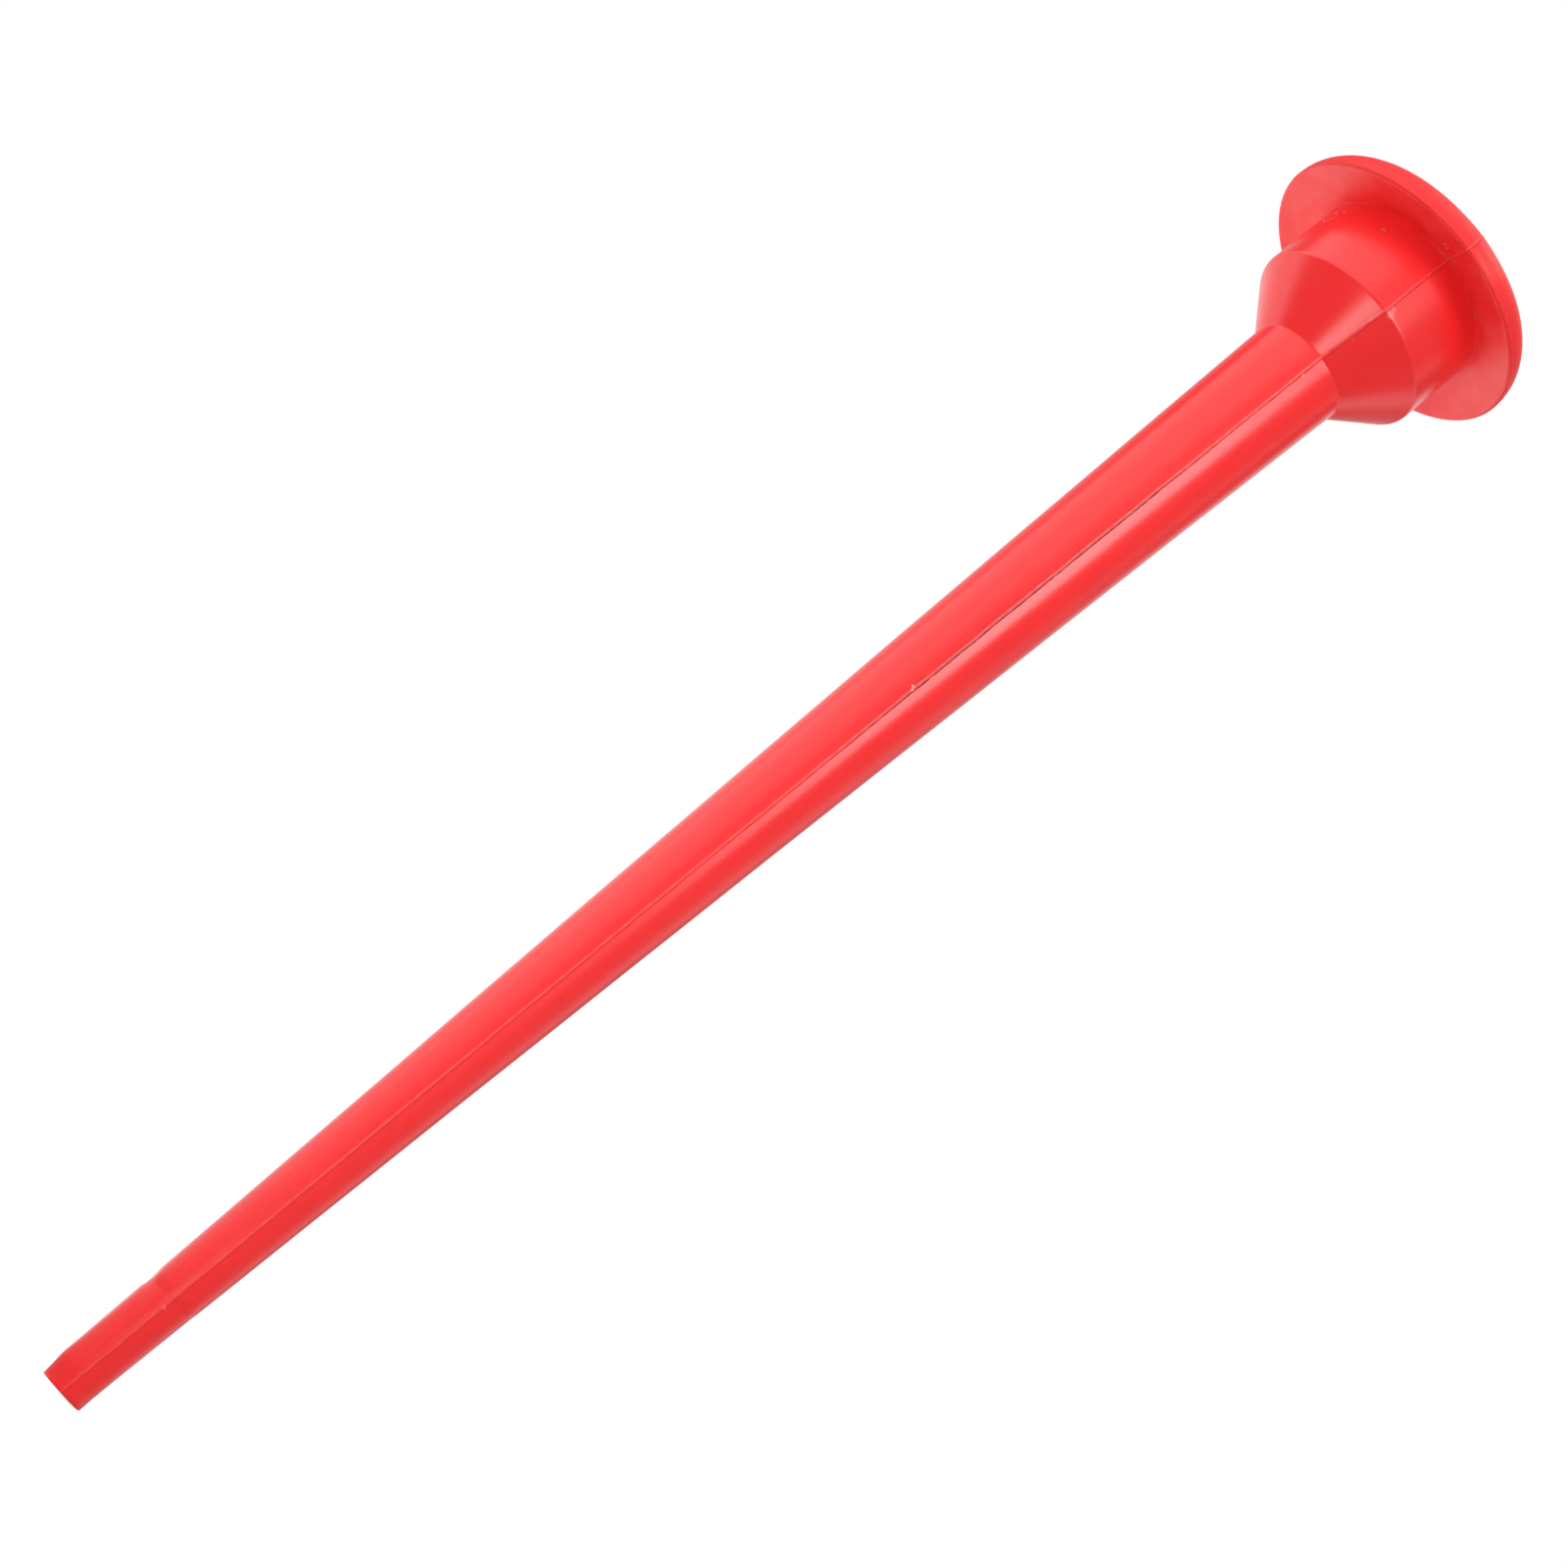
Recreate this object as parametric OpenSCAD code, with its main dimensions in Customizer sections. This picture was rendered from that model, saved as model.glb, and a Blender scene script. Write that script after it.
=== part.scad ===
// Long-neck filling funnel: a wide shallow mouth, a short round bowl, a shoulder,
// a long tapered stem and a straight spout tip.
// The real object is one thin-walled moulding. It is drawn here as six ring-shaped
// sections, cut at its own form lines, that meet face to face.
// Units are millimetres. +Z runs along the axis from the spout to the mouth, and the
// origin is the centre of the spout's open end.

/* [Overall] */
// Height from the spout's end to the top of the rim
funnel_h = 458; // [300:1:700]
// Largest diameter, measured over the rim
rim_d = 83.9; // [76:0.1:140]
// Thickness of the moulded wall
wall = 1.5; // [1.0:0.1:2.0]

/* [Spout tip] */
// Outer diameter of the straight spout, which enters a filler neck
spout_d = 13; // [11:0.1:16]
// Length of the spout tip
spout_len = 32; // [20:1:60]
// Length of the lead-in at the spout's end
nose_len = 6; // [2:0.5:12]
// How much smaller the spout's end is on each side
nose_draft = 0.5; // [0.1:0.1:0.8]

/* [Stem] */
// How far the stem steps out from the spout on each side
step_out = 0.35; // [0.1:0.05:1.5]
// Length of that step
step_len = 2; // [1:0.5:6]
// Outer diameter where the stem meets the shoulder
stem_top_d = 30.5; // [20:0.5:44]

/* [Shoulder] */
// Height of the sloping shoulder above the stem
shoulder_h = 16; // [8:0.5:40]

/* [Bowl] */
// Outer diameter of the bowl
bowl_d = 56.4; // [50:0.1:62]
// Height of the bowl's straight wall
bowl_h = 24; // [10:0.5:60]

/* [Brim] */
// How far the brim's outer edge hangs below its inner corner
brim_droop = 2.6; // [0.5:0.1:5]

/* [Rim] */
// Radius of the rim's rounded outer face, seen in section
rim_round_r = 9.35; // [7:0.05:13]
// Degrees of that round below the rim's widest point, down to the brim's edge
rim_low_a = 10; // [4:1:20]
// Degrees of that round above the widest point, up to the flat top
rim_high_a = 48; // [30:1:52]

/* [Hidden] */
$fn = 96;

// Number of straight steps in each arc of the rim's section
rim_steps = 12;

// Radii of the outside
spout_r = spout_d / 2;
spout_bore_r = spout_r - wall;
stem_top_r = stem_top_d / 2;
bowl_r = bowl_d / 2;
rim_r = rim_d / 2;

// Heights of the form lines, worked down from the rim's flat top
rim_top_h = rim_round_r * sin(rim_high_a);
rim_widest_z = funnel_h - rim_top_h;
brim_edge_z = rim_widest_z - rim_round_r * sin(rim_low_a);
brim_root_z = brim_edge_z + brim_droop;
bowl_floor_z = brim_root_z - bowl_h;
stem_top_z = bowl_floor_z - shoulder_h;
step_top_z = spout_len + step_len;

// The rim's arcs share one centre, so its wall keeps one thickness
rim_centre_r = rim_r - rim_round_r;
rim_inner_r = rim_round_r - wall;
function arc_point(r, a) = [rim_centre_r + r * cos(a), rim_widest_z + r * sin(a)];
function arc(r, a0, a1) = [for (i = [0:rim_steps]) arc_point(r, a0 + (a1 - a0) * i / rim_steps)];

// Corners of the outside, from the spout up to the brim's outer edge
outer = [
    [spout_r, spout_len],
    [spout_r + step_out, step_top_z],
    [stem_top_r, stem_top_z],
    [bowl_r, bowl_floor_z],
    [bowl_r, brim_root_z],
    arc_point(rim_round_r, -rim_low_a)
];

// A corner moved inwards by the wall, square to both of the faces that meet there
function unit(v) = v / norm(v);
function inward(a, b) = let (d = unit(b - a)) [-d.y, d.x];
function mitre(a, b, c) = let (m = inward(a, b), n = inward(b, c)) b + wall * (m + n) / (1 + m * n);

// The brim's inner face runs on until it meets the rim's inner arc
brim_in_dir = unit(outer[5] - outer[4]);
brim_in_start = mitre(outer[3], outer[4], outer[5]);
brim_to_centre = [rim_centre_r, rim_widest_z] - brim_in_start;
brim_in_mid = brim_to_centre * brim_in_dir;
brim_in_gap = norm(brim_to_centre - brim_in_mid * brim_in_dir);
brim_in_run = brim_in_mid + sqrt(rim_inner_r * rim_inner_r - brim_in_gap * brim_in_gap);
brim_in_end = brim_in_start + brim_in_run * brim_in_dir;
rim_in_edge_a = asin((brim_in_end.y - rim_widest_z) / rim_inner_r);

inner = [
    [spout_bore_r, spout_len],
    [spout_r + step_out - wall, step_top_z],
    mitre(outer[1], outer[2], outer[3]),
    mitre(outer[2], outer[3], outer[4]),
    brim_in_start,
    brim_in_end
];

// Wall between two neighbouring corners of the outline, turned about the axis
module section(i) {
    rotate_extrude()
        polygon([outer[i], outer[i + 1], inner[i + 1], inner[i]]);
}

// Straight outlet with a slight lead-in at its open end
module spout_tip() {
    color([0.90, 0.13, 0.12])
        difference() {
            union() {
                cylinder(h = nose_len, r1 = spout_r - nose_draft, r2 = spout_r);
                translate([0, 0, nose_len])
                    cylinder(h = spout_len - nose_len, r = spout_r);
            }
            translate([0, 0, -1])
                cylinder(h = spout_len + 2, r = spout_bore_r);
        }
}

// Long tapered neck, with the small step where the spout tip begins
module stem() {
    color([0.90, 0.13, 0.12])
        union() {
            section(0);
            section(1);
        }
}

// Sloping floor of the bowl
module shoulder() {
    color([0.86, 0.12, 0.11])
        section(2);
}

// Upright round wall above the shoulder
module bowl() {
    color([0.90, 0.13, 0.12])
        section(3);
}

// Flat flange that carries the mouth out beyond the bowl
module brim() {
    color([0.86, 0.12, 0.11])
        section(4);
}

// Rounded outer edge that curls in to a flat top around the mouth
module rim() {
    color([0.90, 0.13, 0.12])
        rotate_extrude()
            polygon(concat(
                arc(rim_round_r, -rim_low_a, rim_high_a),
                arc(rim_inner_r, asin(rim_top_h / rim_inner_r), rim_in_edge_a)
            ));
}

spout_tip();
stem();
shoulder();
bowl();
brim();
rim();
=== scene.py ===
"""Looks of the long-neck funnel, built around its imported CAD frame."""
import math

import bpy
import numpy as np
from mathutils import Matrix, Vector

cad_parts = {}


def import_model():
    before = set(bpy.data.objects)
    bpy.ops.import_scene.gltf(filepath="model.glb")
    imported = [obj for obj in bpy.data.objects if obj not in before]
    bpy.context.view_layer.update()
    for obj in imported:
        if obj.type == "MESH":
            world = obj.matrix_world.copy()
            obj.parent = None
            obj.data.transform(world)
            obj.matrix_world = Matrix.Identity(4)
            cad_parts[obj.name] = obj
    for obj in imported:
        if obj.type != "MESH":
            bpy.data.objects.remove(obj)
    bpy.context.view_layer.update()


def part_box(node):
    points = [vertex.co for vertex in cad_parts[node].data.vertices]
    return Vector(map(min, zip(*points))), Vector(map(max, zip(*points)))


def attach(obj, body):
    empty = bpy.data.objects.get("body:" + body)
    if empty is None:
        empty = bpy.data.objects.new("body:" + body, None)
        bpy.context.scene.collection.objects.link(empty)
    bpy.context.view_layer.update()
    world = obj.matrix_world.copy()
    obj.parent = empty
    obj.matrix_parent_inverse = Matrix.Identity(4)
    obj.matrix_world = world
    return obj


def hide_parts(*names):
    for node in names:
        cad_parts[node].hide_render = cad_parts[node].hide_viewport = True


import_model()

MM = 0.001  # the script works in millimetres, Blender in metres

# ---------------------------------------------------------------- camera
# The photographer stands level with the spout's end and looks up along the funnel,
# with the camera rolled so that the stem lies across the frame from corner to corner.
CAMERA_AZIMUTH = -5.0  # degrees round the funnel, which puts the parting line right of centre
CAMERA_DISTANCE = 691.6  # mm from the funnel's axis
CAMERA_HEIGHT = 20.4  # mm above the spout's end
CAMERA_YAW = 0.17  # degrees
CAMERA_PITCH = 16.6  # degrees above the horizon
CAMERA_ROLL = 50.6  # degrees
CAMERA_LENS = 65.7  # mm, on the sensor below
CAMERA_SENSOR = 36.0  # mm
CAMERA_CLIP = (0.01, 20.0)  # m


def turn(degrees, axis):
    return Matrix.Rotation(math.radians(degrees), 4, axis)


def place_camera():
    data = bpy.data.cameras.new("camera")
    data.sensor_width = CAMERA_SENSOR
    data.lens = CAMERA_LENS
    data.clip_start, data.clip_end = CAMERA_CLIP
    camera = bpy.data.objects.new("camera", data)
    bpy.context.scene.collection.objects.link(camera)
    round_funnel = turn(CAMERA_AZIMUTH, "Z")
    where = Matrix.Translation((0, -CAMERA_DISTANCE * MM, CAMERA_HEIGHT * MM))
    aim = turn(CAMERA_YAW, "Z") @ turn(90 + CAMERA_PITCH, "X") @ turn(CAMERA_ROLL, "Z")
    camera.matrix_world = round_funnel @ where @ aim
    bpy.context.scene.camera = camera


place_camera()

# ---------------------------------------------------------------- sizes
# Sizes that the CAD boxes give, in mm
SPOUT_TOP_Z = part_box("spout_tip")[1].z / MM
SPOUT_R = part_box("spout_tip")[1].x / MM
STEM_TOP_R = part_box("stem")[1].x / MM
STEM_TOP_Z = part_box("shoulder")[0].z / MM
BOWL_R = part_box("bowl")[1].x / MM
BOWL_FLOOR_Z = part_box("bowl")[0].z / MM
BRIM_EDGE_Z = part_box("rim")[0].z / MM
RIM_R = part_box("rim")[1].x / MM
TOP_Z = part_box("rim")[1].z / MM

# Sizes inside the boxes, in mm, as the CAD model has them
WALL = 1.5
NOSE_LEN = 6.0
NOSE_DRAFT = 0.5
STEP_OUT = 0.35
STEP_LEN = 2.0
BRIM_DROOP = 2.6
RIM_ROUND_R = 9.35
RIM_LOW_A = 10.0  # degrees
RIM_HIGH_A = 48.0  # degrees

# The real spout hardly shows the CAD's step. Its sides taper instead, by these in mm
SPOUT_TAPER = 0.08  # slimmer than the CAD just above the nose
SPOUT_SWELL = 0.24  # fuller than the CAD at its top

# Radii of the rounds at the form lines, in mm
NOSE_ROUND = 14.0
STEP_ROUND = 12.0
STEP_TOP_ROUND = 12.0
SHOULDER_ROUND = 1.2
BOWL_ROUND = 1.6
BOWL_FLOOR_ROUND = 1.0  # inside
BRIM_ROUND = 0.12
EDGE_ROUND = 1.0
EDGE_REACH = 1.05 * EDGE_ROUND  # where the rim's arc takes over, just past the round
EDGE_INNER_ROUND = 0.6
CUT_ROUND = 0.3
LIP_ROUND = 0.15

# Distances between the rows of points on each straight stretch, in mm, from the spout upwards
OUTER_SPACINGS = [1.0, 1.5, 0.5, 1.5, 0.8, 0.8, 0.7, 0.5]
INNER_SPACINGS = [4.0, 0.7, 6.0, 1.2, 1.5, 1.0, 0.5]
ROUND_STEPS = 8
SMALL_ROUND_STEPS = 4
RIM_OUTER_STEPS = 18
RIM_INNER_STEPS = 10
RIM_INNER_START = 9  # degrees past the brim's inner edge, where the curl's own rows begin

STEP_TOP_Z = SPOUT_TOP_Z + STEP_LEN
BORE_R = SPOUT_R - WALL
BRIM_ROOT_Z = BRIM_EDGE_Z + BRIM_DROOP
RIM_CENTRE = np.array([RIM_R - RIM_ROUND_R, TOP_Z - RIM_ROUND_R * math.sin(math.radians(RIM_HIGH_A))])
RIM_INNER_R = RIM_ROUND_R - WALL


# ---------------------------------------------------------------- outline
def p(r, z):
    """A point of the outline, from its radius and its height."""
    return np.array([r, z], float)


def unit(v):
    return v / np.linalg.norm(v)


def arc_point(radius, degrees):
    a = math.radians(degrees)
    return RIM_CENTRE + radius * np.array([math.cos(a), math.sin(a)])


def arc(radius, a0, a1, steps):
    return [arc_point(radius, a0 + (a1 - a0) * i / steps) for i in range(steps + 1)]


def angle_at_rim(point):
    """Direction of a point from the centre of the rim's round, in degrees."""
    return math.degrees(math.atan2(*(point - RIM_CENTRE)[::-1]))


def mitre(a, b, c):
    """Corner b of the outside, moved inwards by the wall, square to both its faces."""
    d, e = unit(b - a), unit(c - b)
    m, n = np.array([-d[1], d[0]]), np.array([-e[1], e[0]])
    return b + WALL * (m + n) / (1 + m @ n)


def line_meets_arc(start, direction, radius):
    """The far point where a line leaves the circle round the rim's centre."""
    mid = (RIM_CENTRE - start) @ direction
    gap = np.linalg.norm(RIM_CENTRE - start - mid * direction)
    return start + (mid + math.sqrt(radius**2 - gap**2)) * direction


def spun(v, a):
    """A direction turned by an angle in radians."""
    return np.array([v[0] * math.cos(a) - v[1] * math.sin(a), v[0] * math.sin(a) + v[1] * math.cos(a)])


def corner_round(before, corner, after, radius, steps=ROUND_STEPS):
    """Points of a round that replaces a corner, from its first tangent point to its last."""
    d, e = unit(corner - before), unit(after - corner)
    turn_angle = math.acos(float(np.clip(d @ e, -1, 1)))
    first = corner - d * radius * math.tan(turn_angle / 2)
    side = 1.0 if d[0] * e[1] - d[1] * e[0] > 0 else -1.0
    centre = first + side * radius * np.array([-d[1], d[0]])
    return [centre + spun(first - centre, side * turn_angle * i / steps) for i in range(steps + 1)]


def stretch(a, b, spacing):
    """Points between two ends, both left out, at about the given spacing."""
    n = max(1, round(float(np.linalg.norm(b - a)) / spacing))
    return [a + (b - a) * i / n for i in range(1, n)]


def sections(corners, radii, spacings):
    """Cuts a rounded chain of corners at the middle of each round, so that a section runs from
    one form line to the next. The chain's two ends stay sharp."""
    rounds = [[corners[0]]]
    for before, corner, after, radius in zip(corners, corners[1:], corners[2:], radii):
        rounds.append(corner_round(before, corner, after, radius))
    rounds.append([corners[-1]])
    made = []
    for low, high, spacing in zip(rounds, rounds[1:], spacings):
        half_low, half_high = len(low) // 2, len(high) // 2
        made.append(low[half_low:] + stretch(low[-1], high[0], spacing) + high[: half_high + 1])
    return made


# Corners of the outside, as radius and height
SPOUT_END = p(SPOUT_R - NOSE_DRAFT, 0)
NOSE_TOP = p(SPOUT_R - SPOUT_TAPER, NOSE_LEN)
SPOUT_TOP = p(SPOUT_R + SPOUT_SWELL, SPOUT_TOP_Z)
STEP_TOP = p(SPOUT_R + STEP_OUT, STEP_TOP_Z)
STEM_TOP = p(STEM_TOP_R, STEM_TOP_Z)
BOWL_FOOT = p(BOWL_R, BOWL_FLOOR_Z)
BRIM_ROOT = p(BOWL_R, BRIM_ROOT_Z)
BRIM_EDGE = arc_point(RIM_ROUND_R, -RIM_LOW_A)

# The brim's edge turns into the rim's arc along the arc's own tangent
EDGE_TANGENT = p(math.sin(math.radians(RIM_LOW_A)), math.cos(math.radians(RIM_LOW_A)))
RIM_START = BRIM_EDGE + EDGE_TANGENT * EDGE_REACH
OUTER = [SPOUT_END, NOSE_TOP, SPOUT_TOP, STEP_TOP, STEM_TOP, BOWL_FOOT, BRIM_ROOT, BRIM_EDGE, RIM_START]
OUTER_ROUNDS = [NOSE_ROUND, STEP_ROUND, STEP_TOP_ROUND, SHOULDER_ROUND, BOWL_ROUND, BRIM_ROUND, EDGE_ROUND]

# Corners of the inside
BORE_END = p(BORE_R, 0)
BORE_TOP = p(BORE_R, SPOUT_TOP_Z)
BRIM_INNER_ROOT = mitre(BOWL_FOOT, BRIM_ROOT, BRIM_EDGE)
BRIM_INNER_EDGE = line_meets_arc(BRIM_INNER_ROOT, unit(BRIM_EDGE - BRIM_ROOT), RIM_INNER_R)
RIM_INNER_A = math.radians(angle_at_rim(BRIM_INNER_EDGE))
INNER = [
    BORE_END,
    BORE_TOP,
    p(BORE_R + STEP_OUT, STEP_TOP_Z),
    mitre(STEP_TOP, STEM_TOP, BOWL_FOOT),
    mitre(STEM_TOP, BOWL_FOOT, BRIM_ROOT),
    BRIM_INNER_ROOT,
    BRIM_INNER_EDGE,
    BRIM_INNER_EDGE + p(-math.sin(RIM_INNER_A), math.cos(RIM_INNER_A)),
]
INNER_ROUNDS = [STEP_ROUND, STEP_TOP_ROUND, SHOULDER_ROUND + WALL]
INNER_ROUNDS += [BOWL_FLOOR_ROUND, BRIM_ROUND + WALL, EDGE_INNER_ROUND]


def outline():
    """The whole wall as runs of points that make one closed chain: down the spout's bore and round its
    end, up the outside, over the rim and down the inside. The spout tip and the rim have one run
    each, and the sections between them have one for the outside and one for the inside."""
    nose, spout, step, stem, shoulder, bowl, brim, edge = sections(OUTER, OUTER_ROUNDS, OUTER_SPACINGS)
    inside = [run[::-1] for run in sections(INNER, INNER_ROUNDS, INNER_SPACINGS)]
    bore, step_in, stem_in, shoulder_in, bowl_in, brim_in, edge_in = inside

    # flat top, with a small round at each of its edges
    top_inner = p(RIM_CENTRE[0] + math.sqrt(RIM_INNER_R**2 - (TOP_Z - RIM_CENTRE[1]) ** 2), TOP_Z)
    rim_out = arc(RIM_ROUND_R, angle_at_rim(RIM_START), RIM_HIGH_A, RIM_OUTER_STEPS)
    curl_start = angle_at_rim(BRIM_INNER_EDGE) + RIM_INNER_START
    curl = arc(RIM_INNER_R, curl_start, angle_at_rim(top_inner), RIM_INNER_STEPS)[:-2][::-1]
    lip_out = corner_round(rim_out[-2], rim_out[-1], top_inner, CUT_ROUND, SMALL_ROUND_STEPS)
    lip_in = corner_round(rim_out[-1], top_inner, curl[0], LIP_ROUND, SMALL_ROUND_STEPS)
    rim = edge[:-1] + rim_out[:-1] + lip_out + lip_in + curl + edge_in[1:]

    # spout's end cut, with a small round at each of its edges
    foot_in = corner_round(BORE_TOP, BORE_END, SPOUT_END, CUT_ROUND, SMALL_ROUND_STEPS)
    foot_out = corner_round(BORE_END, SPOUT_END, NOSE_TOP, CUT_ROUND, SMALL_ROUND_STEPS)
    spout_tip = bore[:-1] + foot_in + foot_out + nose[1:] + spout[1:]
    return {
        "spout_tip": [spout_tip],
        "stem": [step + stem[1:], stem_in + step_in[1:]],
        "shoulder": [shoulder, shoulder_in],
        "bowl": [bowl, bowl_in],
        "brim": [brim, brim_in],
        "rim": [rim],
    }


RUNS = outline()
TWO_SKINS = ["stem", "shoulder", "bowl", "brim"]  # from the spout upwards
GOING_UP = [(name, 0) for name in TWO_SKINS]
GOING_DOWN = [(name, 1) for name in reversed(TWO_SKINS)]
CHAIN = [("spout_tip", 0)] + GOING_UP + [("rim", 0)] + GOING_DOWN


def chained():
    """Joins the runs into one closed chain, and says which of its rows each run holds."""
    rows, spans = [], {}
    for name, skin in CHAIN:
        run = RUNS[name][skin]
        start = max(0, len(rows) - 1)
        rows += run if not rows else run[1:]
        spans[name, skin] = (start, start + len(run) - 1)
    return np.array(rows[:-1]), spans


ROWS, SPANS = chained()

# ---------------------------------------------------------------- surface
# The rows above are turned about the axis. Columns crowd together at the two parting
# lines, at -Y and +Y, where they keep fixed distances in mm so that the raised line
# has one width from the spout to the rim.
SEAM_STEPS = [0.0, 0.09, 0.18, 0.27, 0.37, 0.5, 0.7, 1.0, 1.5]  # mm from the parting line
FREE_STEPS = 46  # columns between the two crowded bands of one half
FAR_FROM_SEAM = 99.0  # mm, given to the inside skin, which shows no parting line

# Relief goes on the outside skin only, and fades out over a few rows at its two ends
TINY = 1e-12  # keeps a zero from being divided by, and gives it a sign
LEVEL = 1e-6  # mm, rows closer than this to either end count as level with it
FIRST_OUTSIDE = np.flatnonzero(ROWS[:, 1] < LEVEL)[-1]
LAST_OUTSIDE = np.flatnonzero(ROWS[:, 1] > TOP_Z - LEVEL)[0]
FADE = [0.2, 0.4, 0.6, 0.8]

BULGE = 0.010  # each half stands this share of its radius proud at the parting line
BULGE_REACH = 0.24  # radians
BULGE_LEVEL = 0.25  # share of the bulge taken off all round
SEAM_H = 0.26  # height of the raised parting line, mm
SEAM_DROP = 0.35  # share of that height lost over the bowl and the rim
SEAM_DROP_Z = (405, 430)  # mm
SEAM_W = 0.24  # its half width, mm
SEAM_WANDER = 0.05  # how far it wanders sideways, mm
NICKS = [(96, 0.5), (171, 0.35), (268, 1.0), (402, 0.8), (412, 0.7), (423, 0.6), (455, 0.8)]  # z mm, size
NICK_H = 0.22  # height of a nick of size 1, mm
NICK_LEN = 0.9  # half length, mm
NICK_W = 0.35  # half width, mm
RIPPLE = 0.018  # mm
NOSE_PULL = 0.85  # how far the end is squeezed in on the -X side, mm
NOSE_PULL_LEN = NOSE_LEN + 2  # mm
NOSE_FILL = 0.85  # share of the nose's draft that is missing on the +X side
NOTCH_Z = 29.4  # foot of the small notch on the -X side, mm
NOTCH_FOOT = 0.9  # its sharp side, mm
NOTCH_TOP_Z = 30.4  # where its slow side begins, mm
NOTCH_SLOPE = 6.0  # length of its slow side, mm
NOTCH_DEPTH = 0.24  # mm
NOTCH_POWER = 12  # narrows the notch to one side
END_TILT = 0.42  # rise of the end cut across the spout, mm
END_TILT_LEN = 5.0  # mm
BOW = 0.70  # sideways bow of the stem at its middle, mm


def angles(radius):
    """Angles of all columns on a ring, in radians, starting at the -Y parting line."""
    crowded = np.array(SEAM_STEPS) / radius
    free = np.linspace(crowded[-1], math.pi - crowded[-1], FREE_STEPS + 2)[1:-1]
    half = np.concatenate([crowded, free, (math.pi - crowded)[::-1][:-1]])
    return np.concatenate([half, half + math.pi]) - math.pi / 2


def smooth(x):
    """Grows from 0 to 1 with level ends while x grows from 0 to 1."""
    x = np.clip(x, 0, 1)
    return x * x * (3 - 2 * x)


def hump(x):
    """A bell of height 1 round 0."""
    return np.exp(-(x**2))


def seam_relief(across, z, angle):
    """Height of the raised parting line, which wanders, wears unevenly and is nicked in front."""
    wander = SEAM_WANDER * np.sin(z * 0.31 + 2 * np.sin(z * 0.11))
    wear = 1 + 0.25 * np.sin(z * 1.9) * np.sin(z * 0.43) + 0.2 * np.sin(z * 5.1)
    low, high = SEAM_DROP_Z
    ridge = SEAM_H * (1 - SEAM_DROP * smooth((z - low) / (high - low)))
    relief = ridge * wear * hump((across - wander) / SEAM_W)
    front = np.sin(angle) < 0
    for at, size in NICKS:
        relief += size * NICK_H * hump((z - at) / NICK_LEN) * hump(across / NICK_W) * front
    return relief


def spout_relief(z, left):
    """How the spout's end is squeezed and notched. Left is 1 on the -X side and 0 on the +X side."""
    squeeze = left**2 * (NOSE_PULL - NOSE_DRAFT) * (1 - smooth(z / NOSE_PULL_LEN))
    fill = (1 - left) * NOSE_DRAFT * NOSE_FILL * (1 - smooth(z / NOSE_LEN))
    notch = smooth((z - NOTCH_Z) / NOTCH_FOOT) * (1 - smooth((z - NOTCH_TOP_Z) / NOTCH_SLOPE))
    return fill - squeeze - left**NOTCH_POWER * NOTCH_DEPTH * notch


def surface():
    """The whole moulding as a grid of points, and how far each is from its parting line, all in mm."""
    radius, height = ROWS[:, :1], ROWS[:, 1:]
    angle = np.array([angles(r) for r in ROWS[:, 0]])
    z = np.repeat(height, angle.shape[1], 1)
    outside = np.zeros(len(ROWS))
    outside[FIRST_OUTSIDE:LAST_OUTSIDE] = 1
    outside[FIRST_OUTSIDE : FIRST_OUTSIDE + len(FADE)] = FADE
    outside[LAST_OUTSIDE - len(FADE) : LAST_OUTSIDE] = FADE[::-1]
    outside = outside[:, None]

    to_seam = np.abs(np.abs(np.arcsin(np.clip(np.sin(angle), -1, 1))) - math.pi / 2)
    across = to_seam * radius * np.sign(np.cos(angle) + TINY)
    left = (1 - np.cos(angle)) / 2
    ripple = np.sin(z * 0.052 + 1.3 * np.sin(angle * 2)) + 0.6 * np.sin(z * 0.13 + 3 * np.cos(angle + 0.7))
    relief = BULGE * radius * (np.exp(-to_seam / BULGE_REACH) - BULGE_LEVEL)
    relief += seam_relief(across, z, angle) + RIPPLE * ripple + spout_relief(z, left)

    r = radius + relief * outside
    z = z + END_TILT * (1 - left) * (1 - smooth(z / END_TILT_LEN))
    x = r * np.cos(angle) - BOW * np.sin(math.pi * np.clip(z / TOP_Z, 0, 1))
    y = r * np.sin(angle)
    return np.stack([x, y, z], axis=2), np.where(outside > 0, across, FAR_FROM_SEAM)


def grid_normals(points):
    """Normals of a closed grid: the mean of the four faces round each point, each counted alike."""
    across = np.roll(points, -1, 1) - points
    along = np.roll(points, -1, 0) - points
    far = np.roll(np.roll(points, -1, 0), -1, 1) - points
    face = np.cross(across, far) + np.cross(far, along)
    face /= np.linalg.norm(face, axis=2, keepdims=True) + TINY
    total = face + np.roll(face, 1, 0) + np.roll(face, 1, 1) + np.roll(np.roll(face, 1, 0), 1, 1)
    return total / np.linalg.norm(total, axis=2, keepdims=True)


GRID, SEAM_MM = surface()
NORMALS = grid_normals(GRID)
COLUMNS = GRID.shape[1]


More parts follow.
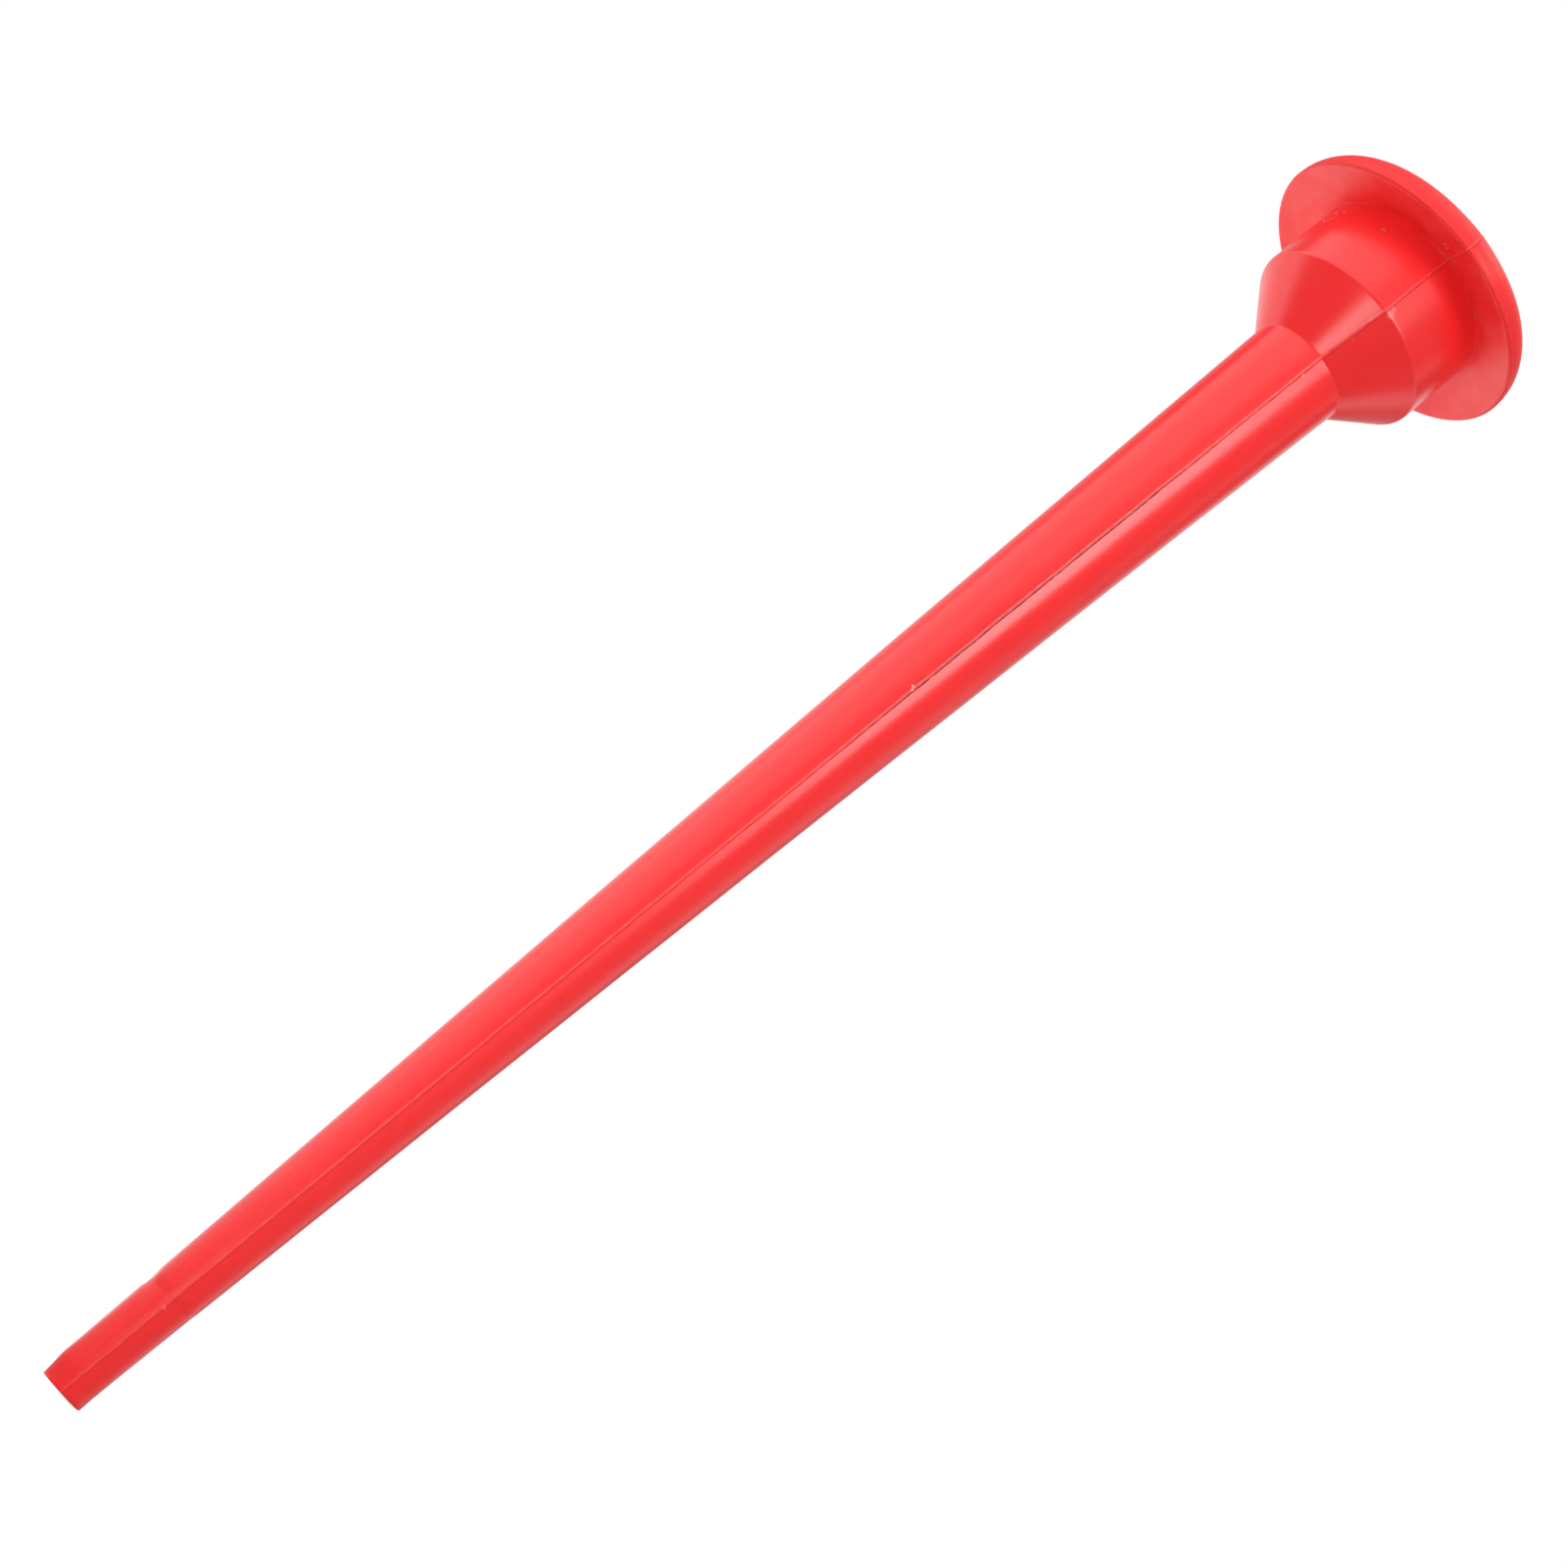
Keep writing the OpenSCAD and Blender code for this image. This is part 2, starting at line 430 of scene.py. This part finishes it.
# ---------------------------------------------------------------- shader graphs
class Graph:
    """The node tree of a material or the world. A value given to its helpers is a number, a colour, a
    vector or the output of another node."""

    def __init__(self, owner):
        owner.use_nodes = True
        self.tree = owner.node_tree
        self.tree.nodes.clear()

    def node(self, kind, **settings):
        made = self.tree.nodes.new("ShaderNode" + kind)
        for key, value in settings.items():
            setattr(made, key, value)
        return made

    def feed(self, socket, value):
        if isinstance(value, bpy.types.NodeSocket):
            self.tree.links.new(value, socket)
        else:
            socket.default_value = value

    def made_of(self, kind, output, inputs, **settings):
        """Adds a node, feeds its inputs by name or number, and gives one of its outputs."""
        made = self.node(kind, **settings)
        for key, value in inputs.items():
            self.feed(made.inputs[key], value)
        return made.outputs[output]

    def place(self):
        """The shaded point in the object's own frame, in m."""
        return self.made_of("TexCoord", "Object", {})

    def noise(self, vector, scale, detail):
        return self.made_of("TexNoise", "Fac", {"Vector": vector, "Scale": scale, "Detail": detail})

    def stretched(self, vector, scale):
        return self.made_of("Mapping", "Vector", {"Vector": vector, "Scale": scale})

    def remap(self, value, span, result):
        """Follows a value from one span to another, and stays at the ends outside them."""
        inputs = {"Value": value, "From Min": span[0], "From Max": span[1]}
        inputs.update({"To Min": result[0], "To Max": result[1]})
        return self.made_of("MapRange", "Result", inputs)

    def math(self, operation, a, b=0.0):
        return self.made_of("Math", "Value", {0: a, 1: b}, operation=operation)

    def product(self, first, *others):
        for other in others:
            first = self.math("MULTIPLY", first, other)
        return first

    def mix(self, factor, a, b):
        return self.made_of("Mix", "Result", {"Factor": factor, "A": a, "B": b}, data_type="RGBA")

    def bump(self, height, distance, strength, normal=None):
        inputs = {"Height": height, "Distance": distance, "Strength": strength}
        if normal is not None:
            inputs["Normal"] = normal
        return self.made_of("Bump", "Normal", inputs)

    def axis(self, vector, name):
        return self.made_of("SeparateXYZ", name, {"Vector": vector})

    def over_z(self, z, span_mm, result):
        """Follows a height from one span, in mm, to another."""
        return self.remap(z, [v * MM for v in span_mm], result)

    def distance(self, vector, at_mm):
        inputs = {0: vector, 1: [v * MM for v in at_mm]}
        return self.made_of("VectorMath", "Value", inputs, operation="DISTANCE")

    def spot(self, vector, at_mm, inner, outer):
        """1 close to a point, falling to 0 at the outer distance, all in mm."""
        return self.remap(self.distance(vector, at_mm), (inner * MM, outer * MM), (1.0, 0.0))

    def line(self, value, at, half_width, core):
        """1 where a value is close to the given one, over a core share of the half width, falling to 0."""
        off = self.math("ABSOLUTE", self.math("SUBTRACT", value, at))
        return self.remap(off, (core * half_width, half_width), (1.0, 0.0))


# ---------------------------------------------------------------- plastic
# The parting line's painted lines: a pale line that is partly rubbed flash and partly painted highlight, and
# dark lines of painted shade. Distances across it are in mm, minus on the -X side
SWAY = 0.14  # how far its lines wander sideways
FLASH_LINE = (-0.22, 0.42)  # middle and half width of the pale flash line, partly painted highlight
CREASE_LINE = (0.29, 0.52)  # of the dark line painted as the shade of a crease
BESIDE_LINE = (-1.05, 0.38)  # of the faint line of painted shade next to both
LINE_CORE = 0.35  # share of a line's half width that has its full strength
FLASH_STRENGTH = 0.68
CREASE_STRENGTH = 0.90
BESIDE_STRENGTH = 0.35

# Heights over which these lines change, in mm
CREASE_OPENS_Z = (235, 265)
CREASE_CLOSES_Z = (345, 375)
FLASH_GROWS_Z = (150, 330)
FLASH_FADES_Z = (405, 430)

# Small pale spots: most where the flash is torn or rubbed, and two that are a painted glint on the round
# between the cone and the bowl. Place and radius in mm, and strength
TORN_SPOTS_AND_GLINTS = [
    ((-1.45, -12.1, 265.5), 0.55, 0.9),
    ((-0.95, -12.2, 264.7), 0.5, 0.9),
    ((0.0, -6.7, 29.6), 0.6, 0.3),
    ((0.2, -15.3, 404.6), 0.6, 0.3),
    # painted highlight: the next two spots are a glint painted on the round between the cone and the bowl
    ((1.6, -28.6, 428.6), 1.5, 0.3),
    ((0.9, -28.6, 430.2), 1.0, 0.25),
    ((0.9, -21.6, 419.0), 0.7, 0.25),
]
SPOT_CORE = 0.4  # share of a spot's radius that has its full strength

# Small raised rings that the mould leaves under the brim and on the bowl: place, radius and the half
# width of the line, in mm
MARKS = [
    ((-3.6, -33.4, 451.0), 0.85, 0.34),
    ((-16.8, -22.8, 446.0), 0.5, 0.28),
    ((-27.5, -6.2, 445.6), 2.1, 0.42),
    ((-26.4, -10.4, 447.4), 0.3, 0.4),
]
MARK_CORE = 0.25  # share of a line's half width that has its full strength

RIM_HIGHLIGHT_AT = (6.0, -40.0, 455.4)  # mm, on the rim beside the parting line, where a painted highlight lies in pale streaks
RIM_HIGHLIGHT_CORE = 1.5  # mm
RIM_HIGHLIGHT_R = 7.5  # mm
RIM_HIGHLIGHT_STRENGTH = 0.7
FILL_PAINTED_Z = (440, 452)  # mm, painted light: the bowl's red grows lighter towards the corner under the brim, where the brim shades it

# Colours
# pale red of the flash line, partly painted highlight, and of the painted highlight on the rim
PALE_FLASH_AND_HIGHLIGHT = (0.97, 0.16, 0.14, 1)
# pale red of torn spots and mould marks, and of a painted glint
PALE_TORN_AND_GLINT = (0.97, 0.36, 0.33, 1)
PALE_DUST = (0.97, 0.13, 0.12, 1)
# painted shade: the dark red of the lines along the parting line
CREASE_SHADE_RED = (0.16, 0.001, 0.002, 1)
# painted light: the lighter red that the bowl takes towards the corner under the brim
FILL_PAINTED_RED = (1.0, 0.026, 0.028, 1)

# Scales of the noises and of the rings, per metre
CLOUD_SCALE = 45
SWAY_SCALE = 90
DUST_SCALE = 150
RING_SCALE = 180
STREAK_SCALE = 320
OPEN_SCALE = 330
PEEL_SCALE = 420
TEAR_SCALE = 500
RUB_AND_SHEEN_SCALE = 900
GRAIN_SCALE = 2600

# Depth in m and strength of each kind of relief
PEEL_RELIEF = (0.0001, 0.08)
GRAIN_RELIEF = (0.00003, 0.35)
MARK_RELIEF = (0.0003, 1.0)
RING_RELIEF = (0.00003, 0.3)

PLASTIC_IOR = 1.5
CLOUDY = (0.2, 0.8)  # span of the cloud noise
ROUGH_SPREAD = 0.012  # the clouds change the roughness by this much either way

# Each finish: its darker and lighter red, roughness, specular level, whether it gets painted light under the
# brim and whether it is turned
GLOSSY = {
    "name": "red_moulding",
    "dark": (0.84, 0.010, 0.012, 1),
    "light": (0.90, 0.015, 0.016, 1),
    "rough": 0.26,
    "shine": 0.5,
    "fill_painted": False,
    "turned": False,
}
# Painted light: the brim's red is set lighter than the stem's, and the rim's and bowl's reds darker, to
# stand in for how much light each section gets
MATT = dict(GLOSSY, name="red_moulding_brim", rough=0.48, turned=True)
MATT.update(dark=(0.95, 0.013, 0.015, 1), light=(0.99, 0.017, 0.018, 1))
SATIN = dict(GLOSSY, name="red_moulding_rim", rough=0.48, shine=0.30)
SATIN.update(dark=(0.75, 0.014, 0.016, 1), light=(0.80, 0.019, 0.020, 1))
FILL_PAINTED_BOWL = dict(GLOSSY, name="red_moulding_bowl", fill_painted=True)
FILL_PAINTED_BOWL.update(dark=(0.80, 0.011, 0.013, 1), light=(0.86, 0.016, 0.017, 1))
FINISHES = {"bowl": FILL_PAINTED_BOWL, "brim": MATT, "rim": SATIN}  # the other sections are glossy


def seam_highlight_and_shade(graph, place):
    """Strengths of the pale line along the flash, partly rubbed flash and partly painted highlight, of a
    dark line of painted shade next to it and of a faint line of painted shade next to both.
    """
    upright = graph.stretched(place, (0, 0, 1))
    z = graph.axis(place, "Z")
    sway = graph.remap(graph.noise(upright, SWAY_SCALE, 3), (0.3, 0.7), (-SWAY, SWAY))
    across = graph.math("ADD", graph.made_of("Attribute", "Fac", {}, attribute_name="seam_mm"), sway)

    open_share = graph.remap(graph.noise(upright, OPEN_SCALE, 4), (0.38, 0.54), (0.25, 1.0))
    opens = graph.over_z(z, CREASE_OPENS_Z, (0.1, 1.0))
    closes = graph.over_z(z, CREASE_CLOSES_Z, (1.0, 0.2))
    crease_shade_share = graph.product(open_share, opens, closes)
    rough_share = graph.remap(graph.noise(upright, TEAR_SCALE, 5), (0.36, 0.66), (0.3, 1.0))
    grows = graph.over_z(z, FLASH_GROWS_Z, (0.3, 1.0))
    fades = graph.over_z(z, FLASH_FADES_Z, (1.0, 0.5))
    flash_highlight_share = graph.product(rough_share, grows, fades)

    flash = graph.product(graph.line(across, *FLASH_LINE, LINE_CORE), flash_highlight_share, FLASH_STRENGTH)
    crease = graph.product(graph.line(across, *CREASE_LINE, LINE_CORE), crease_shade_share, CREASE_STRENGTH)
    beside = graph.product(graph.line(across, *BESIDE_LINE, LINE_CORE), crease_shade_share, BESIDE_STRENGTH)
    return flash, crease, beside


def mould_marks(graph, place):
    """1 on the small rings that the mould leaves."""
    marks = 0.0
    for at_mm, radius, width in MARKS:
        ring = graph.line(graph.distance(place, at_mm), radius * MM, width * MM, MARK_CORE)
        marks = graph.math("MAXIMUM", marks, ring)
    return marks


def colour_and_painted_light(graph, place, clouds, marks, finish):
    """Slight streaks of pigment along the flow and clouds of it, under real wear, dust and marks, and under
    painted light: the parting line's painted highlight and shade, a painted highlight on the rim, a painted
    glint and the bowl's painted lightening under the brim.
    """
    streaks = graph.noise(graph.stretched(place, (1, 1, 0.06)), STREAK_SCALE, 3)
    streaked = graph.remap(streaks, (0.3, 0.7), (0.0, 0.18))
    mottle = graph.math("ADD", streaked, graph.remap(clouds, CLOUDY, (0.0, 0.7)))
    colour = graph.mix(mottle, finish["dark"], finish["light"])
    # painted light: the bowl is lightened towards the corner under the brim, where the brim shades it
    if finish["fill_painted"]:
        colour = graph.mix(graph.over_z(graph.axis(place, "Z"), FILL_PAINTED_Z, (0.0, 1.0)), colour, FILL_PAINTED_RED)

    flash, crease, beside = seam_highlight_and_shade(graph, place)
    # painted shade: the dark lines along the parting line
    colour = graph.mix(crease, colour, CREASE_SHADE_RED)
    colour = graph.mix(beside, colour, CREASE_SHADE_RED)
    # painted highlight: the pale line along the parting line, partly rubbed flash
    colour = graph.mix(flash, colour, PALE_FLASH_AND_HIGHLIGHT)

    # painted highlight: pale streaks on the rim next to the parting line
    rubs_and_sheen = graph.noise(graph.stretched(place, (0.12, 0.12, 2.2)), RUB_AND_SHEEN_SCALE, 4)
    rim_highlight = graph.spot(place, RIM_HIGHLIGHT_AT, RIM_HIGHLIGHT_CORE, RIM_HIGHLIGHT_R)
    rim_highlight = graph.product(rim_highlight, graph.remap(rubs_and_sheen, (0.40, 0.72), (0.0, 1.0)), RIM_HIGHLIGHT_STRENGTH)
    colour = graph.mix(rim_highlight, colour, PALE_FLASH_AND_HIGHLIGHT)
    # pale spots: torn flash, and a painted glint on the round between the cone and the bowl
    for at_mm, size, strength in TORN_SPOTS_AND_GLINTS:
        spot = graph.product(graph.spot(place, at_mm, SPOT_CORE * size, size), strength)
        colour = graph.mix(spot, colour, PALE_TORN_AND_GLINT)
    patchy = graph.remap(rubs_and_sheen, (0.40, 0.55), (0.15, 0.5))
    colour = graph.mix(graph.product(marks, patchy), colour, PALE_TORN_AND_GLINT)
    if finish["turned"]:
        dust = graph.remap(graph.noise(place, DUST_SCALE, 6), (0.42, 0.72), (0.0, 0.28))
        colour = graph.mix(dust, colour, PALE_DUST)
    return colour


def plastic_relief(graph, place, marks, finish):
    """Orange peel, fine grain, the mould's marks and, on a turned face, faint rings."""
    normal = graph.bump(graph.noise(place, PEEL_SCALE, 2), *PEEL_RELIEF)
    normal = graph.bump(graph.noise(place, GRAIN_SCALE, 2), *GRAIN_RELIEF, normal)
    normal = graph.bump(marks, *MARK_RELIEF, normal)
    if finish["turned"]:
        inputs = {"Vector": place, "Scale": RING_SCALE, "Distortion": 0.6}
        rings = graph.made_of("TexWave", "Fac", inputs, wave_type="RINGS", rings_direction="Z")
        normal = graph.bump(rings, *RING_RELIEF, normal)
    return normal


def red_plastic(finish):
    """Red polyethylene with one of the finishes."""
    material = bpy.data.materials.new(finish["name"])
    graph = Graph(material)
    shader = graph.node("BsdfPrincipled")
    shader.inputs["IOR"].default_value = PLASTIC_IOR
    shader.inputs["Specular IOR Level"].default_value = finish["shine"]
    place = graph.place()
    clouds = graph.noise(place, CLOUD_SCALE, 2)
    marks = mould_marks(graph, place)
    roughness = (finish["rough"] - ROUGH_SPREAD, finish["rough"] + ROUGH_SPREAD)
    graph.feed(shader.inputs["Base Color"], colour_and_painted_light(graph, place, clouds, marks, finish))
    graph.feed(shader.inputs["Roughness"], graph.remap(clouds, CLOUDY, roughness))
    graph.feed(shader.inputs["Normal"], plastic_relief(graph, place, marks, finish))
    graph.feed(graph.node("OutputMaterial").inputs["Surface"], shader.outputs["BSDF"])
    return material


# ---------------------------------------------------------------- pieces
def section_mesh(name):
    """A closed mesh from one section's rows, with flat faces where it meets its neighbours."""
    spans = [SPANS[name, skin] for skin in range(len(RUNS[name]))]
    rows = [[i % len(ROWS) for i in range(first, last + 1)] for first, last in spans]
    flat = [i for run in rows for i in run]
    points = GRID[flat].reshape(-1, 3) * MM
    normals = NORMALS[flat].reshape(-1, 3)
    faces, is_skin = [], []
    count = len(flat)
    ends = set(np.cumsum([len(run) for run in rows]) - 1)
    for i in range(count):
        for j in range(COLUMNS):
            k, up = (j + 1) % COLUMNS, (i + 1) % count
            faces.append((i * COLUMNS + j, i * COLUMNS + k, up * COLUMNS + k, up * COLUMNS + j))
            is_skin.append(i not in ends)
    mesh = bpy.data.meshes.new(name + "_skin")
    mesh.from_pydata(points.tolist(), [], faces)
    mesh.polygons.foreach_set("use_smooth", is_skin)
    seam = mesh.attributes.new("seam_mm", "FLOAT", "POINT")
    seam.data.foreach_set("value", SEAM_MM[flat].ravel())
    mesh.update()
    corners = []
    for polygon in mesh.polygons:
        for v in polygon.vertices:
            corners.append(tuple(normals[v] if is_skin[polygon.index] else polygon.normal))
    mesh.normals_split_custom_set(corners)
    return mesh


def make_piece(name, material):
    piece = bpy.data.objects.new(name + "_skin", section_mesh(name))
    bpy.context.scene.collection.objects.link(piece)
    piece.data.materials.append(material)
    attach(piece, "root")
    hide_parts(name)


PLASTICS = {finish["name"]: red_plastic(finish) for finish in (GLOSSY, MATT, SATIN, FILL_PAINTED_BOWL)}
for section in RUNS:
    make_piece(section, PLASTICS[FINISHES.get(section, GLOSSY)["name"]])


# ---------------------------------------------------------------- studio
FLOOR_R = 1.6  # m
FLOOR_SIDES = 96
FLOOR_GREY = (0.35, 0.35, 0.35, 1)
FLOOR_GLOW_LESS = 0.2  # the floor's own glow is this much under white, as lamps light it too
FRONT_BOUNCE = 0.46  # light that comes off the floor on the camera's side
BACK_BOUNCE = 2.2  # light that comes off the floor behind the funnel
BOUNCE_Y = (0.20, 0.60)  # m, where the one turns into the other
SPILL = 9.3  # brightest part of the pool of light in front of the funnel
SPILL_AT = (-0.09, -0.39)  # m
SPILL_R = 0.105  # m
SPILL_EDGE = 0.45  # share of the pool's radius over which it grows to full brightness
SEEN_WHITE = 1.0  # brightness of the floor and the background as the camera sees them

# Brightness of the studio walls by the direction round the funnel in degrees, where 0 is at -Y and
# 90 at +X: once near the horizon and once higher up
WALLS_LOW = [(-180, 1.1), (-150, 1.1), (-125, 1.3), (-108, 1.6), (-74, 1.2), (-20, 0.9), (10, 0.6)]
WALLS_LOW += [(85, 0.75), (100, 1.0), (119, 1.2), (131, 0.35), (160, 0.35), (176, 1.1)]
WALLS_HIGH = [(-180, 0.7), (-150, 0.5), (-135, 0.15), (-122, 0.15), (-108, 0.95), (-20, 0.95), (10, 0.6)]
WALLS_HIGH += [(60, 0.5), (85, 0.4), (98, 0.8), (108, 0.15), (126, 0.15), (140, 1.0)]
WALLS_RISE = (0.26, 0.44)  # sine of the elevation, where the low ones turn into the high ones

LAMP_DISTANCE = 1.8  # m
LAMP_TARGET = (0, 0, 0.3)  # m
# Azimuth and elevation, width and height, all in degrees, and radiance
LAMPS = {"left_wall": (-70, 25, 80, 60, 0.70), "band": (18, 21, 28, 17.5, 8.0), "top": (10, 80, 40, 40, 1.2)}


def as_seen(graph, output, lights, seen):
    """Gives the camera one look of the studio and everything that it lights the other."""
    ray = graph.made_of("LightPath", "Is Camera Ray", {})
    shown = graph.made_of("MixShader", 0, {"Fac": ray, 1: lights, 2: seen})
    graph.feed(graph.node(output).inputs["Surface"], shown)


def floor_material():
    """A pale floor. It looks evenly white, and it throws more light up behind the funnel than in front."""
    material = bpy.data.materials.new("pale_floor")
    graph = Graph(material)
    place = graph.place()
    back = graph.remap(graph.axis(place, "Y"), BOUNCE_Y, (FRONT_BOUNCE, BACK_BOUNCE))
    shift = {"Location": (-SPILL_AT[0] / SPILL_R, -SPILL_AT[1] / SPILL_R, 0)}
    shift.update({"Vector": place, "Scale": (1 / SPILL_R, 1 / SPILL_R, 1)})
    from_pool = graph.made_of("Mapping", "Vector", shift)
    pool = graph.made_of("TexGradient", "Fac", {"Vector": from_pool}, gradient_type="SPHERICAL")
    bounce = graph.math("ADD", back, graph.remap(pool, (0.0, SPILL_EDGE), (0.0, SPILL)))
    lights = graph.made_of("Emission", 0, {"Strength": bounce})
    grey = graph.made_of("BsdfDiffuse", 0, {"Color": FLOOR_GREY})
    glow = graph.made_of("Emission", 0, {"Strength": SEEN_WHITE - FLOOR_GLOW_LESS})
    as_seen(graph, "OutputMaterial", lights, graph.made_of("AddShader", 0, {0: grey, 1: glow}))
    return material


def floor():
    mesh = bpy.data.meshes.new("floor")
    turns = [2 * math.pi * i / FLOOR_SIDES for i in range(FLOOR_SIDES)]
    points = [(FLOOR_R * math.cos(a), FLOOR_R * math.sin(a), 0) for a in turns]
    mesh.from_pydata(points, [], [list(range(FLOOR_SIDES))])
    disc = bpy.data.objects.new("floor", mesh)
    bpy.context.scene.collection.objects.link(disc)
    mesh.materials.append(floor_material())


def wall_ramp(graph, share, walls):
    ramp = graph.node("ValToRGB")
    stops = ramp.color_ramp.elements
    while len(stops) < len(walls):
        stops.new(0.5)
    for stop, (degrees, level) in zip(stops, walls):
        stop.position = (degrees + 180) / 360
        stop.color = (level, level, level, 1)
    graph.feed(ramp.inputs["Fac"], share)
    return ramp.outputs["Color"]


def world():
    studio = bpy.data.worlds.new("studio")
    bpy.context.scene.world = studio
    graph = Graph(studio)
    direction = graph.made_of("TexCoord", "Generated", {})
    towards = graph.math("MULTIPLY", graph.axis(direction, "Y"), -1.0)
    azimuth = graph.math("ARCTAN2", graph.axis(direction, "X"), towards)
    share = graph.remap(azimuth, (-math.pi, math.pi), (0.0, 1.0))
    rise = graph.remap(graph.axis(direction, "Z"), WALLS_RISE, (0.0, 1.0))
    walls = graph.mix(rise, wall_ramp(graph, share, WALLS_LOW), wall_ramp(graph, share, WALLS_HIGH))
    lights = graph.made_of("Background", 0, {"Color": walls})
    seen = graph.made_of("Background", 0, {"Color": (1, 1, 1, 1), "Strength": SEEN_WHITE})
    as_seen(graph, "OutputWorld", lights, seen)


def softbox(name, azimuth, elevation, wide, tall, radiance):
    """An area light that faces the funnel. Azimuth 0 is at -Y and 90 at +X, and its sizes are
    angles as seen from the funnel, all in degrees."""
    a, e = math.radians(azimuth), math.radians(elevation)
    away = Vector((math.sin(a) * math.cos(e), -math.cos(a) * math.cos(e), math.sin(e)))
    data = bpy.data.lights.new(name, "AREA")
    data.shape = "RECTANGLE"
    data.size = 2 * LAMP_DISTANCE * math.tan(math.radians(wide / 2))
    data.size_y = 2 * LAMP_DISTANCE * math.tan(math.radians(tall / 2))
    data.energy = radiance * math.pi * data.size * data.size_y
    lamp = bpy.data.objects.new(name, data)
    lamp.location = Vector(LAMP_TARGET) + away * LAMP_DISTANCE
    lamp.rotation_mode = "QUATERNION"
    lamp.rotation_quaternion = (-away).to_track_quat("-Z", "Y")
    lamp.visible_camera = False
    bpy.context.scene.collection.objects.link(lamp)


bpy.context.scene.view_settings.view_transform = "Standard"
floor()
world()
for lamp_name, settings in LAMPS.items():
    softbox(lamp_name, *settings)
